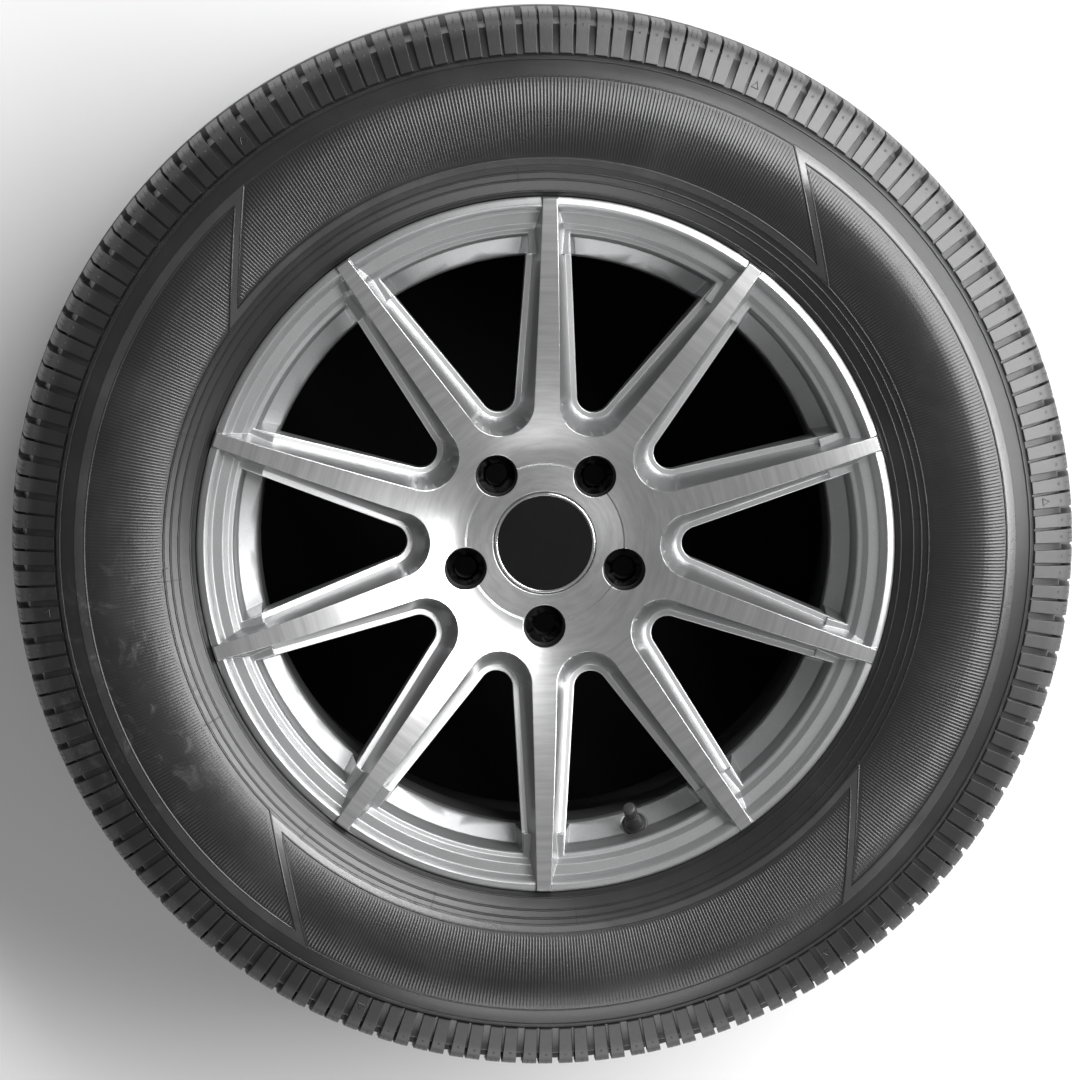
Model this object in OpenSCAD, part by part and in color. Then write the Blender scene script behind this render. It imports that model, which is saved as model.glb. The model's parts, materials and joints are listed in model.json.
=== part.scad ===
// A car tyre mounted on a ten-spoke cast alloy wheel, with its centre cap and snap-in valve.
// The axle is the Z axis and the styled face looks up. The origin is on the axle, midway between the flanges.

/* [Tyre] */
// Outer diameter of the tyre
tyre_d = 737.3; // [725:0.1:750]
// Width across the sidewalls
section_w = 240; // [232:0.5:248]
// Place of the widest part of the section, as a share of the sidewalls' height
widest_place = 0.595; // [0.56:0.005:0.63]
// Width of the tread between the outer edges of its shoulders
tread_w = 196; // [190:1:202]
// Height of the shoulder blocks, from their feet to the crown
shoulder_h = 38.4; // [36:0.1:40]
// Distance over which the crown turns down into the shoulder
shoulder_round = 9; // [6:0.5:12]
// How far the sidewall falls back between its widest point and the block feet
shoulder_drop = 15; // [12:0.5:18]
// Radius of the crown across the tread
crown_round = 400; // [380:10:600]
// Rubber and belts under the tread surface
crown_t = 15; // [13.5:0.5:18]
// Thickness of the sidewalls
sidewall_t = 7; // [5:0.5:9]
// Width of the beads
bead_w = 19; // [17:0.5:19.5]
// Gap left between the tyre and the rim
bead_gap = 0.45; // [0.4:0.05:0.8]

/* [Tread] */
// Depth of the tread grooves
tread_depth = 8; // [6:0.5:8.5]
// Distances of the ring grooves from the middle of the tread
ring_groove_z = [24, 57];
// Width of the ring grooves
ring_groove_w = 10; // [7:0.5:12]
// Number of pitches round the tread, each with a wide and a narrow cross groove
pitches = 89; // [60:1:100]
// Width of the wide cross grooves
wide_groove_w = 4.8; // [4:0.2:7]
// Width of the narrow cross grooves
narrow_groove_w = 1.8; // [1.4:0.2:3]

/* [Sidewall relief] */
// Height of the fine rings round the bead
fine_ring_h = 0.6; // [0.4:0.1:1]
// Places of the fine rings, as shares of the sidewalls' height outside the rim lip
fine_rings = [0.032, 0.113, 0.166, 0.213];
// Width of a fine ring
fine_ring_w = 1.2; // [1:0.1:1.6]
// Height of the ring at the edge of the shoulder
shoulder_ring_h = 0.9; // [0.6:0.1:1.4]
// Distance of that ring's inner edge inside the block feet
shoulder_ring_in = 4.7; // [4.2:0.1:5.5]
// Width of that ring
shoulder_ring_w = 2; // [1.4:0.2:2.6]
// Depth of the groove along the block feet
foot_groove_depth = 1.2; // [0.8:0.1:2]
// Width of that groove
foot_groove_w = 2; // [1.4:0.1:2.4]
// Height of the plain band that winds between the ribbed panels
band_h = 0.5; // [0.4:0.05:0.55]
// Place of the band's outer edge, as a share of the sidewalls' height inside the block feet
band_out = 0.157; // [0.14:0.001:0.18]
// Width of the band along its outer arcs
band_out_w = 6.7; // [5:0.1:8]
// Place of the band's inner edge, as a share of the sidewalls' height outside the rim lip
band_in = 0.21; // [0.207:0.001:0.212]
// Width of the band along its inner arcs
band_in_w = 5.6; // [4:0.1:8]
// Width of the slanted parts of the band
band_slant_w = 4.8; // [3.6:0.2:6]
// Half angle of the two wide-footed panels along their outer edges
panel_out_angle = 35.3; // [32:0.1:38]
// Half angle of the same panels along their inner edges
panel_in_angle = 47.6; // [45:0.1:50]
// Turn of the panels round the tyre, in degrees
panel_turn = 94.2; // [85:0.1:100]

/* [Rim] */
// Diameter of the bead seats at the flanges
seat_d = 436.6; // [434:0.1:439]
// Width between the insides of the flanges
rim_w = 177.8; // [174:0.1:182]
// Height of the flanges above the bead seats
flange_h = 17.5; // [16.5:0.1:18]
// Radius of the flanges on the side of the tyre
flange_round = 9.5; // [8.5:0.1:10]
// Width of a flange
flange_w = 11.5; // [11:0.1:13]
// Radius of the drop-centre well on the side of the tyre
well_r = 201.3; // [200:0.1:203]
// Distance of the well's outboard edge from the middle of the rim
well_edge_z = 52; // [50:0.5:54]
// Distance of the well's inboard edge from the middle of the rim
well_inner_z = 18; // [10:1:25]
// Thickness of the barrel at the well
barrel_t = 4.3; // [4:0.1:5]
// Metal under the bead seats
seat_wall = 5.6; // [5:0.1:6.5]
// Thickness of the wall that holds the valve
valve_wall = 4.5; // [4:0.1:5]

/* [Spokes] */
// Number of spokes
spokes = 10; // [10:1:10]
// Turn of the wheel inside the tyre, in degrees
wheel_turn = -0.5; // [-5:0.1:5]
// Distance of the spoke face above the middle of the rim at the hub
hub_z = 66; // [64:0.5:68]
// How far the spoke tips stand proud of the lip
tip_proud = 1.2; // [0.6:0.1:1.8]
// Radius at which the spoke faces start to rise
spoke_root_r = 62; // [58:1:66]
// Length over which the spoke faces turn from level to rising
spoke_bend = 10; // [4:1:16]
// Radius of the inner end of the windows
window_in_r = 94.5; // [92:0.5:97]
// Radius of the windows' rounded inner ends
window_round = 11.8; // [10.5:0.1:12.5]
// Angle between a window's middle and its sides
window_angle = 21.6; // [21:0.1:22]
// Width of the ledge round the windows
ledge_w = 3.9; // [3:0.1:4.5]
// Height of the ledge at its inner end
ledge_z = 55.5; // [54:0.5:57]
// Rise of the ledge towards the rim, in degrees
ledge_tilt = 16; // [15:0.1:16.8]
// Lean of the pocket walls, in degrees
pocket_draft = 24; // [21:0.5:26]
// Half width of the buttresses where the spokes meet the barrel, at their feet
buttress_foot = 19.6; // [18:0.2:21]
// Half width of the buttresses at their tops
buttress_top = 13.8; // [13:0.2:15]

/* [Hub] */
// Distance of the mounting pad from the middle of the rim
offset = 40; // [38:0.5:42]
// Radius of the mounting pad
pad_r = 75; // [72:0.5:77]
// Diameter of the hub bore
bore_d = 67.1; // [64:0.1:69]
// Depth of the hub bore, with the relief for the cap's clips at its top
bore_depth = 14; // [12:0.5:15]
// Height of that relief
clip_relief_h = 4.4; // [4.1:0.1:5]
// Diameter of the bolt circle
bolt_circle_d = 114.3; // [112:0.1:116]
// Number of wheel bolts
bolts = 5; // [5:1:5]
// Radius of the bolt holes
bolt_r = 7.5; // [7:0.1:8]
// Radius of the pockets for the wheel nuts
nut_pocket_r = 14.5; // [13.8:0.1:15]
// Height of the nut pockets' floors
nut_floor_z = 57; // [56:0.5:58]
// Radius of the conical nut seats at the pocket floors
nut_seat_r = 13.2; // [12.5:0.1:13.5]
// Radius of the turned disc round the cap
hub_disc_r = 54; // [52:0.5:56]
// Depth of the turned disc
hub_disc_drop = 0.6; // [0.3:0.1:1]
// Radius of the recesses in the back of the hub
back_recess_r = 9; // [7:0.5:10]
// Depth of the recesses in the back of the hub
back_recess_depth = 11; // [8:0.5:12]

/* [Centre cap] */
// Radius of the cap
cap_r = 34.6; // [33.5:0.1:36]
// Width of the bright ring
cap_ring_w = 2.2; // [1.8:0.1:3]
// Height of the cap's seat in the hub
cap_seat_z = 62; // [61.5:0.1:62.5]
// Height of the cap above its seat
cap_h = 4; // [3.6:0.1:4.6]
// Rise of the domed disc at its middle
cap_dome = 0.6; // [0.3:0.1:1]
// Radius of the bore that the clips snap into
clip_bore_r = 30.2; // [29.5:0.1:30.8]
// Number of clips
clips = 8; // [6:1:10]
// Wall of the clips
clip_t = 1.8; // [1.4:0.1:2.2]
// Thickness of the wire in the spring ring
ring_wire_d = 1.6; // [1.2:0.1:2]
// Gap round the cap and between its pieces
cap_gap = 0.1; // [0.05:0.05:0.2]

/* [Valve] */
// Radius at which the valve stands in the rim
valve_r = 206.5; // [205.5:0.1:207]
// Angle of the valve from a spoke's middle, in degrees
valve_angle = 18; // [16:0.5:20]
// Radius of the valve hole
valve_hole_r = 5.65; // [5.4:0.05:5.9]
// Radius of the rubber base
valve_base_r = 8.4; // [8:0.1:8.8]
// Length of the valve from the rim face to the top of its cap
valve_length = 28; // [27:0.5:31]
// Radius of the cap's outside
valve_cap_r = 4.65; // [4.6:0.05:5]
// Length of the cap
valve_cap_h = 10.5; // [10:0.5:11]
// Radius of the stem's thread
valve_thread_r = 3.85; // [3.8:0.05:3.9]
// Radius of the stem's bore
valve_bore_r = 2.6; // [2.5:0.05:2.7]
// Radius of the pin
valve_pin_r = 0.7; // [0.6:0.05:0.8]
// Gap between the valve's pieces
valve_gap = 0.1; // [0.05:0.05:0.15]

/* [Hidden] */
$fn = 96;

tyre_r = tyre_d / 2;
seat_r = seat_d / 2;
lip_r = seat_r + flange_h;
half_rim = rim_w / 2;
lip_z = half_rim + flange_w;
foot_r = tyre_r - shoulder_h;
side_h = foot_r - lip_r;
widest_r = lip_r + widest_place * side_h;
seat_slope = tan(5);
overlap = 1;
crease = 0.08;

// Points on an arc round [r, z] from angle a to angle b, with 0 along +r and 90 along +z.
function arc(centre, radius, a, b, steps) =
    [for (i = [0:steps]) let (t = a + (b - a) * i / steps) centre + radius * [cos(t), sin(t)]];

// A point on the curve that leaves p towards q and reaches s.
function bend(p, q, s, t) = (1 - t) * (1 - t) * p + 2 * t * (1 - t) * q + t * t * s;

function backwards(points) = [for (i = [len(points) - 1:-1:0]) points[i]];
function mirrored(points) = [for (p = points) [p[0], -p[1]]];

// Tyre section.

exit_r = lip_r + bead_gap + 0.1;
exit_z = half_rim + flange_round - 0.4;

// Height of the sidewall above the middle of the rim at a radius.
function side_z(r) = section_w / 2 - (r < widest_r
    ? (section_w / 2 - exit_z) * pow((widest_r - r) / (widest_r - exit_r), 2.1)
    : shoulder_drop * pow((r - widest_r) / (foot_r - widest_r), 1.7));

// Points on the bare sidewall between two radii.
function wall(a, b, steps) = [for (i = [1:steps]) let (r = a + (b - a) * i / (steps + 1)) [r, side_z(r)]];

// The four corners of a ring raised on the sidewall.
function raised(r, w, h) = let (slope = 0.3) [
    [r, side_z(r)], [r + slope, side_z(r + slope) + h],
    [r + w - slope, side_z(r + w - slope) + h], [r + w, side_z(r + w)]];

crown_edge_z = tread_w / 2 - shoulder_round;
function crown(z) = tyre_r - z * z / (2 * crown_round);

// The crown turns over a tight corner into the face of the shoulder blocks, which runs straight to their feet.
crown_edge = [crown(crown_edge_z), crown_edge_z];
corner_point = [crown(tread_w / 2 - 2), tread_w / 2 - 2];
foot = [foot_r, side_z(foot_r)];
face_top = corner_point + (foot - corner_point) * 0.2;
face_start = 0.4;
function shoulder_at(t) = t < face_start
    ? bend(crown_edge, corner_point, face_top, t / face_start)
    : face_top + (foot - face_top) * (t - face_start) / (1 - face_start);

function groove(z) = let (half = ring_groove_w / 2, lean = 0.8) [
    [crown(z + half), z + half], [crown(z) - tread_depth, z + half - lean],
    [crown(z) - tread_depth, z - half + lean], [crown(z - half), z - half]];

toe_z = half_rim - bead_gap - bead_w;
function seat_at(z) = seat_r - (half_rim - z) * seat_slope;
heel = 1.2;
apex_r = lip_r + 26;
band_in_r = lip_r + band_in * side_h;
band_out_r = foot_r - band_out * side_h;
edge_ring_w = 1;
edge_ring_in = 0.3;
ring_r = [for (place = fine_rings) lip_r + place * side_h];
last_ring = len(ring_r) - 1;

tyre_outside = concat(
    [[seat_at(toe_z) + bead_gap, toe_z],
        [seat_r + bead_gap, half_rim - bead_gap - heel], [seat_r + bead_gap + heel, half_rim - bead_gap]],
    arc([lip_r - flange_round, half_rim + flange_round], flange_round + bead_gap, -90, -8, 5),
    [[exit_r, exit_z]],
    raised(ring_r[0], fine_ring_w, fine_ring_h),
    wall(ring_r[0] + fine_ring_w, ring_r[1], 3),
    [for (i = [1:last_ring]) each raised(ring_r[i], fine_ring_w, fine_ring_h)],
    wall(ring_r[last_ring] + fine_ring_w, band_out_r - edge_ring_in - edge_ring_w, 18),
    raised(band_out_r - edge_ring_in - edge_ring_w, edge_ring_w, band_h - 0.1),
    wall(band_out_r - edge_ring_in, foot_r - shoulder_ring_in, 4),
    raised(foot_r - shoulder_ring_in, shoulder_ring_w, shoulder_ring_h),
    [[foot_r - foot_groove_w, side_z(foot_r - foot_groove_w)],
        [foot_r - foot_groove_w / 2, side_z(foot_r) - foot_groove_depth], foot],
    [for (i = [4:-1:0]) shoulder_at(face_start * i / 4)],
    [for (i = [len(ring_groove_z) - 1:-1:0]) each groove(ring_groove_z[i])]);

corner_r = tyre_r - crown_t - 25;
belt_edge_z = tread_w / 2 - 36;
corner = [[corner_r, side_z(corner_r) - sidewall_t], [crown(belt_edge_z + 22) - crown_t + 1, belt_edge_z + 28],
    [crown(belt_edge_z) - crown_t, belt_edge_z]];

tyre_inside = concat(
    [[seat_at(toe_z) + bead_gap + 1.5, toe_z - 0.3]],
    [for (i = [0:4]) let (r = apex_r + (corner_r - apex_r) * i / 5) [r, side_z(r) - sidewall_t]],
    [for (i = [0:5]) bend(corner[0], corner[1], corner[2], i / 5)],
    [[crown(belt_edge_z / 2) - crown_t, belt_edge_z / 2]]);

module tyre_body() {
    rotate_extrude() polygon(concat(tyre_outside, [[tyre_r, 0]], backwards(mirrored(tyre_outside)),
        mirrored(tyre_inside), backwards(tyre_inside)));
}

// A wide-footed panel on +X, bounded by the two slanted parts of the band and widened by extra on each side.
module panel(extra) {
    out_corner = band_out_r * [cos(panel_out_angle), sin(panel_out_angle)];
    in_corner = (band_in_r + band_in_w) * [cos(panel_in_angle), sin(panel_in_angle)];
    along = (out_corner - in_corner) / norm(out_corner - in_corner);
    side = extra * [-along[1], along[0]];
    low = in_corner - 30 * along + side;
    high = out_corner + 80 * along + side;
    polygon([low, [low[0], -low[1]], [high[0], -high[1]], high]);
}

// The plain band seen along the axle. It runs outside two of the panels and inside the other two.
module band_plan() {
    difference() {
        circle(r = band_out_r);
        circle(r = band_in_r);
        for (turn = [0, 180]) rotate(turn) difference() {
            panel(0);
            circle(r = band_in_r + band_in_w);
        }
        difference() {
            circle(r = band_out_r - band_out_w);
            for (turn = [0, 180]) rotate(turn) panel(band_slant_w);
        }
    }
}

module band() {
    steps = 24;
    root = 3;
    skin = [for (i = [0:steps]) let (r = band_in_r - 2 + (band_out_r - band_in_r + 4) * i / steps) [r, side_z(r)]];
    intersection() {
        rotate_extrude() polygon(concat([for (p = skin) p + [0, band_h]],
            backwards([for (i = [0:4:steps]) skin[i] - [0, root]])));
        rotate(panel_turn) translate([0, 0, section_w / 2 - 25]) linear_extrude(height = 30) band_plan();
    }
}

// One groove across a shoulder, in the plane y = 0. It is deep at the crown and shallow on the lower half of the face.
module cross_groove(width) {
    deep = tread_depth - 0.5;
    across = [foot[1] - face_top[1], face_top[0] - foot[0]] / norm(foot - face_top);
    floor_points = [crown_edge - [deep, 0], shoulder_at(face_start) - 0.75 * deep * across,
        shoulder_at(0.62) - 0.35 * deep * across, shoulder_at(1) - 0.2 * deep * across];
    inner_z = ring_groove_z[len(ring_groove_z) - 1];
    middle_z = (inner_z + crown_edge_z) / 2;
    rotate([90, 0, 0]) linear_extrude(height = width, center = true) polygon(concat(
        [[tyre_r + 6, inner_z], [crown(inner_z) - deep, inner_z], [crown(middle_z) - deep, middle_z]], floor_points,
        [[foot_r - overlap, side_z(foot_r) + 3], [tyre_r + 6, side_z(foot_r) + 3]]));
}

module shoulder_grooves() {
    pitch = 360 / pitches;
    for (i = [0:pitches - 1]) rotate(i * pitch) {
        cross_groove(wide_groove_w);
        rotate(pitch / 2) cross_groove(narrow_groove_w);
    }
}

module tyre() {
    color("#2b2b2b") difference() {
        union() {
            tyre_body();
            band();
            mirror([0, 0, 1]) band();
        }
        shoulder_grooves();
        mirror([0, 0, 1]) shoulder_grooves();
    }
}

// Rim section.

hump_in = 22;
hump_h = 1.4;
slope_top = [seat_at(half_rim - hump_in - 3.5) + 0.2, half_rim - hump_in - 3.5];
slope_foot = [well_r, well_edge_z];
slope_rise = (slope_top[1] - slope_foot[1]) / (slope_top[0] - slope_foot[0]);
valve_lean = atan(slope_rise);
barrel_in_r = well_r - barrel_t;
window_edge_r = barrel_in_r + 0.5;
step_r = seat_at(half_rim - hump_in) - seat_wall;

// Height of the sloped face inside the lip, parallel to the slope of the well behind it.
function face_z(r) = well_edge_z + (r - well_r) * slope_rise + valve_wall / cos(valve_lean);

seat_side = concat(
    arc([lip_r - flange_round, half_rim + flange_round], flange_round, 0, -90, 6),
    [[seat_r, half_rim], [seat_at(half_rim - hump_in + 1.5), half_rim - hump_in + 1.5],
        [seat_at(half_rim - hump_in) + hump_h, half_rim - hump_in],
        [seat_at(half_rim - hump_in) + hump_h, half_rim - hump_in - 1.5], slope_top]);

lip_step = [lip_r - 7.7, lip_z - 2.8];
band_foot = [step_r + 5.2, lip_z - 8.6];

rim_front = [
    [lip_r - 0.5, lip_z - 0.8], [lip_r - 1.5, lip_z], [lip_r - 5.6, lip_z], [lip_r - 7.2, lip_z - 1],
    lip_step, lip_step - [0.5, 0.4], band_foot, band_foot - [0.3, 0.9], band_foot - [2, 1.6],
    band_foot - [2.3, 2.5], band_foot - [3.8, 3.1], [step_r + 0.4, lip_z - 13.4], [step_r, face_z(step_r) + 2.5],
    [step_r - 0.9, face_z(step_r - 0.9)], [window_edge_r + 0.8, face_z(window_edge_r + 0.8)],
    [window_edge_r, face_z(window_edge_r) - 0.8], [barrel_in_r, well_edge_z - 2]];

rim_back = [
    [barrel_in_r, well_inner_z], [barrel_in_r + 9, well_inner_z - 43], [step_r - 1.6, -slope_top[1] + 2],
    [step_r - 1.2, -half_rim + 5], [step_r + 2, -half_rim - 2], [lip_step[0] + 1, -lip_z + 3],
    [lip_r - 5, -lip_z], [lip_r - 1.5, -lip_z], [lip_r - 0.5, -lip_z + 0.8]];

well_back = [
    [well_r, well_inner_z], [well_r + 9.2, well_inner_z - 43], [slope_top[0] - 1.5, -slope_top[1] + 3]];

module barrel() {
    rotate_extrude() polygon(concat(
        seat_side, [slope_foot], well_back, backwards(mirrored(seat_side)), backwards(rim_back),
        backwards(rim_front)));
}

// Spokes and hub.

// Height of the machined face at a radius.
function spoke_rise(r) = r - spoke_root_r + norm([r - spoke_root_r, spoke_bend]);
function spoke_z(r) = hub_z + (lip_z + tip_proud - hub_z) * spoke_rise(r) / spoke_rise(lip_r);

tip_r = lip_r - 0.4;
cap_recess_r = cap_r + 0.8;
bore_r = bore_d / 2;
bore_top_z = offset + bore_depth;
face_start_r = hub_disc_r + 2;
face_bend_r = spoke_root_r + 2.5 * spoke_bend;
face_steps = 7;

module disc() {
    rotate_extrude() polygon(concat(
        [[bore_r + 1.5, offset], [bore_r, offset + 1.5], [bore_r, bore_top_z - clip_relief_h],
            [bore_r + 1.2, bore_top_z - clip_relief_h + 0.7], [bore_r + 1.2, bore_top_z], [clip_bore_r, bore_top_z],
            [clip_bore_r, cap_seat_z], [cap_recess_r, cap_seat_z], [cap_recess_r, hub_z - hub_disc_drop - 0.5],
            [cap_recess_r + 0.5, hub_z - hub_disc_drop], [hub_disc_r, hub_z - hub_disc_drop],
            [hub_disc_r + 0.8, spoke_z(hub_disc_r + 0.8)]],
        [for (i = [0:face_steps]) let (r = face_start_r + (face_bend_r - face_start_r) * i / face_steps)
            [r, spoke_z(r)]],
        [[(face_bend_r + tip_r) / 2, spoke_z((face_bend_r + tip_r) / 2)],
            [tip_r - tip_proud, spoke_z(tip_r - tip_proud)], [tip_r, spoke_z(tip_r) - tip_proud],
            [tip_r, lip_z - 1.8], [lip_r - 8, lip_z - 5.4], [step_r + 3, lip_z - 11.4],
            [step_r + 2.5, face_z(step_r) - 1.3], [well_r + 3.7, face_z(well_r + 3.7) - 3],
            [well_r - 2, well_edge_z], [well_r - 2, well_edge_z - 2], [pad_r + 2, offset + 2], [pad_r, offset]]));
}

window_c = window_in_r + window_round;

// A wedge with a drafted side on each hand, tangent to a cone that stands on the origin.
module drafted_wedge(low_r, high_r, h, length) {
    // The tool leans, so this angle is the window's as seen square to the tool.
    angle = atan(tan(window_angle) * cos(ledge_tilt));
    function level(radius, z) = let (end = (radius + length * sin(angle)) / cos(angle)) [
        [-radius * sin(angle), -radius * cos(angle), z], [length, -end, z],
        [length, end, z], [-radius * sin(angle), radius * cos(angle), z]];
    polyhedron(points = concat(level(low_r, 0), level(high_r, h)),
        faces = [[0, 1, 2, 3], [7, 6, 5, 4], [4, 5, 1, 0], [5, 6, 2, 1], [6, 7, 3, 2], [7, 4, 0, 3]]);
}

// Clears the pocket over one window, down to the ledge. The window's middle is on +X.
module pocket() {
    h = 70;
    low_r = window_round + ledge_w;
    high_r = low_r + h * tan(pocket_draft);
    translate([window_in_r - ledge_w, 0, ledge_z]) rotate([0, -ledge_tilt, 0]) translate([low_r, 0, 0]) {
        cylinder(r1 = low_r, r2 = high_r, h = h);
        drafted_wedge(low_r - crease, high_r - crease, h, lip_r);
    }
}

// Cuts one window right through.
module window() {
    radius = window_round - crease;
    length = lip_r;
    end = (radius + length * sin(window_angle)) / cos(window_angle);
    translate([window_c, 0, offset - 20]) linear_extrude(height = lip_z) {
        circle(r = window_round);
        polygon([[-radius * sin(window_angle), -radius * cos(window_angle)], [length, -end],
            [length, end], [-radius * sin(window_angle), radius * cos(window_angle)]]);
    }
}

// Braces a spoke against the barrel, below the lip. The spoke is on +X.
module buttress() {
    low = face_z(window_edge_r) - 2;
    high = lip_z - 11.4;
    translate([window_edge_r + 0.1, 0, 0]) rotate([90, 0, 90]) linear_extrude(height = step_r + 2.5 - window_edge_r)
        polygon([[-buttress_foot, low], [buttress_foot, low], [buttress_top, high], [-buttress_top, high]]);
}

module bolt_hole() {
    cone_h = (nut_seat_r - bolt_r) / tan(30);
    translate([bolt_circle_d / 2, 0, 0]) {
        translate([0, 0, offset - overlap]) cylinder(r = bolt_r, h = hub_z - offset);
        translate([0, 0, nut_floor_z - cone_h]) cylinder(r1 = bolt_r, r2 = nut_seat_r, h = cone_h);
        translate([0, 0, nut_floor_z]) cylinder(r = nut_pocket_r, h = hub_z - nut_floor_z + 6);
    }
}

module wheel() {
    spoke_pitch = 360 / spokes;
    color("#c4c6c8") rotate(wheel_turn) difference() {
        union() {
            barrel();
            difference() {
                disc();
                for (i = [0:spokes - 1]) rotate(90 + (i + 0.5) * spoke_pitch) {
                    pocket();
                    window();
                }
            }
            for (i = [0:spokes - 1]) rotate(90 + i * spoke_pitch) buttress();
        }
        for (i = [0:bolts - 1]) rotate(i * 360 / bolts - 90) bolt_hole();
        for (i = [0:bolts - 1]) rotate(i * 360 / bolts + 90)
            translate([bolt_circle_d / 2, 0, offset - overlap])
                cylinder(r = back_recess_r, h = back_recess_depth + overlap);
        at_valve() {
            translate([0, 0, -20]) cylinder(r = valve_hole_r, h = 30);
            cylinder(r = valve_base_r + 1, h = 20);
        }
    }
}

// Centre cap.

plate_t = 1.6;
plate_r = cap_r - cap_ring_w - cap_gap;
clip_r = clip_bore_r - 0.5;
barb = 1.2;

module cap_body() {
    foot_z = bore_top_z - 3.6;
    color("#303236") rotate(wheel_turn) difference() {
        rotate_extrude() polygon([
            [0, cap_seat_z + cap_gap / 2], [clip_r - clip_t, cap_seat_z + cap_gap / 2], [clip_r - clip_t, foot_z],
            [clip_r + 0.3, foot_z], [clip_r + barb, bore_top_z - 1], [clip_r + barb, bore_top_z - 0.5],
            [clip_r, bore_top_z - 0.3], [clip_r, cap_seat_z + cap_gap / 2], [plate_r, cap_seat_z + cap_gap / 2],
            [plate_r, cap_seat_z + plate_t], [0, cap_seat_z + plate_t]]);
        for (i = [0:clips - 1]) rotate(i * 360 / clips)
            translate([clip_r - clip_t - overlap, -2, foot_z - overlap])
                cube([clip_t + barb + 2 * overlap, 4, cap_seat_z - foot_z - 1]);
    }
}

module cap_ring() {
    low = cap_seat_z + cap_gap / 2;
    top = cap_seat_z + cap_h;
    round_r = cap_ring_w / 2;
    color("#d8dadc") rotate_extrude() polygon(concat(
        [[cap_r - cap_ring_w, low], [cap_r, low]],
        arc([cap_r - round_r, top - round_r], round_r, 0, 180, 6)));
}

module cap_disc() {
    low = cap_seat_z + plate_t + cap_gap / 2;
    edge = cap_seat_z + cap_h - 0.7;
    color("#161719") rotate_extrude() polygon(concat([[0, low], [plate_r, low]],
        [for (i = [0:5]) let (r = plate_r * (1 - i / 5)) [r, edge + cap_dome * (1 - pow(r / plate_r, 2))]]));
}

module cap_spring_ring() {
    color("#8f9296") translate([0, 0, bore_top_z - 1.9])
        rotate_extrude() translate([clip_r - clip_t - ring_wire_d / 2 - cap_gap, 0]) circle(d = ring_wire_d);
}

// Valve, built along its own axis with z = 0 on the rim face.

module at_valve() {
    rotate(valve_angle - 90) translate([valve_r, 0, face_z(valve_r) - 0.3]) rotate([0, -valve_lean, 0]) children();
}

cap_low = valve_length - valve_cap_h;
tube_top = valve_length - 3;
core_top = tube_top - 1.6;
core_low = core_top - 12;
chamber_low = core_low + 1.2;
chamber_top = core_low + 7;

module valve_rubber() {
    neck_r = valve_hole_r - valve_gap;
    top = cap_low - 0.6;
    foot = -valve_wall - 0.5;
    color("#1d1d1d") rotate(wheel_turn) at_valve() rotate_extrude() polygon(concat(
        [[valve_thread_r - 0.5, foot - 9], [valve_thread_r + 1.2, foot - 9], [valve_hole_r + 1.9, foot - 6],
            [valve_hole_r + 1.9, foot], [neck_r, foot], [neck_r, 0], [valve_base_r, 0], [valve_base_r, 1.2]],
        [for (i = [0:5]) let (t = i / 5)
            bend([valve_base_r - 0.4, 2], [valve_cap_r + 0.6, 3], [valve_cap_r + 0.2, top - 0.8], t)],
        [[valve_cap_r - 0.3, top], [valve_thread_r - 0.5, top]]));
}

module valve_tube() {
    shank_r = valve_thread_r - 0.5 - valve_gap / 2;
    foot = -valve_wall - 8;
    color("#b8934a") rotate(wheel_turn) at_valve() rotate_extrude() polygon([
        [1.2, foot], [shank_r, foot], [shank_r, cap_low - 0.6 + valve_gap], [valve_thread_r, cap_low - 0.1],
        [valve_thread_r, tube_top - 0.6], [valve_thread_r - 0.6, tube_top], [valve_bore_r, tube_top],
        [valve_bore_r, core_low - 3.6], [1.2, core_low - 5]]);
}

module valve_core() {
    core_r = valve_bore_r - valve_gap / 2;
    guide_r = valve_pin_r + valve_gap;
    color("#c9a85c") rotate(wheel_turn) at_valve() rotate_extrude() polygon([
        [guide_r, core_low], [core_r, core_low], [core_r, core_top], [guide_r, core_top],
        [guide_r, chamber_top], [core_r - 0.7, chamber_top - 0.6], [core_r - 0.7, chamber_low],
        [guide_r, chamber_low]]);
}

module valve_pin() {
    collar_z = chamber_top - 1.6;
    color("#9a9da0") rotate(wheel_turn) at_valve() rotate_extrude() polygon([
        [0, core_low - 2.4], [valve_pin_r + 0.5, core_low - 2.4], [valve_pin_r + 0.5, core_low - 1.6],
        [valve_pin_r, core_low - 1.6], [valve_pin_r, collar_z], [valve_pin_r + 0.6, collar_z],
        [valve_pin_r + 0.6, collar_z + 0.6], [valve_pin_r, collar_z + 0.6], [valve_pin_r, tube_top - 0.5],
        [0, tube_top - 0.5]]);
}

module valve_pin_seal() {
    color("#202020") rotate(wheel_turn) at_valve() translate([0, 0, core_low - 1.5]) difference() {
        cylinder(r = valve_bore_r - 0.5, h = 1.45);
        translate([0, 0, -overlap]) cylinder(r = valve_pin_r + valve_gap / 2, h = 4);
    }
}

// The coils are separate rings with the real wire and pitch.
module valve_spring() {
    wire = 0.3;
    coils = 5;
    low = chamber_low + wire / 2 + 0.05;
    high = chamber_top - 1.6 - wire / 2 - 0.05;
    color("#b0b2b4") rotate(wheel_turn) at_valve()
        for (i = [0:coils - 1]) translate([0, 0, low + (high - low) * i / (coils - 1)])
            rotate_extrude() translate([valve_pin_r + 0.45, 0]) circle(d = wire);
}

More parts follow.
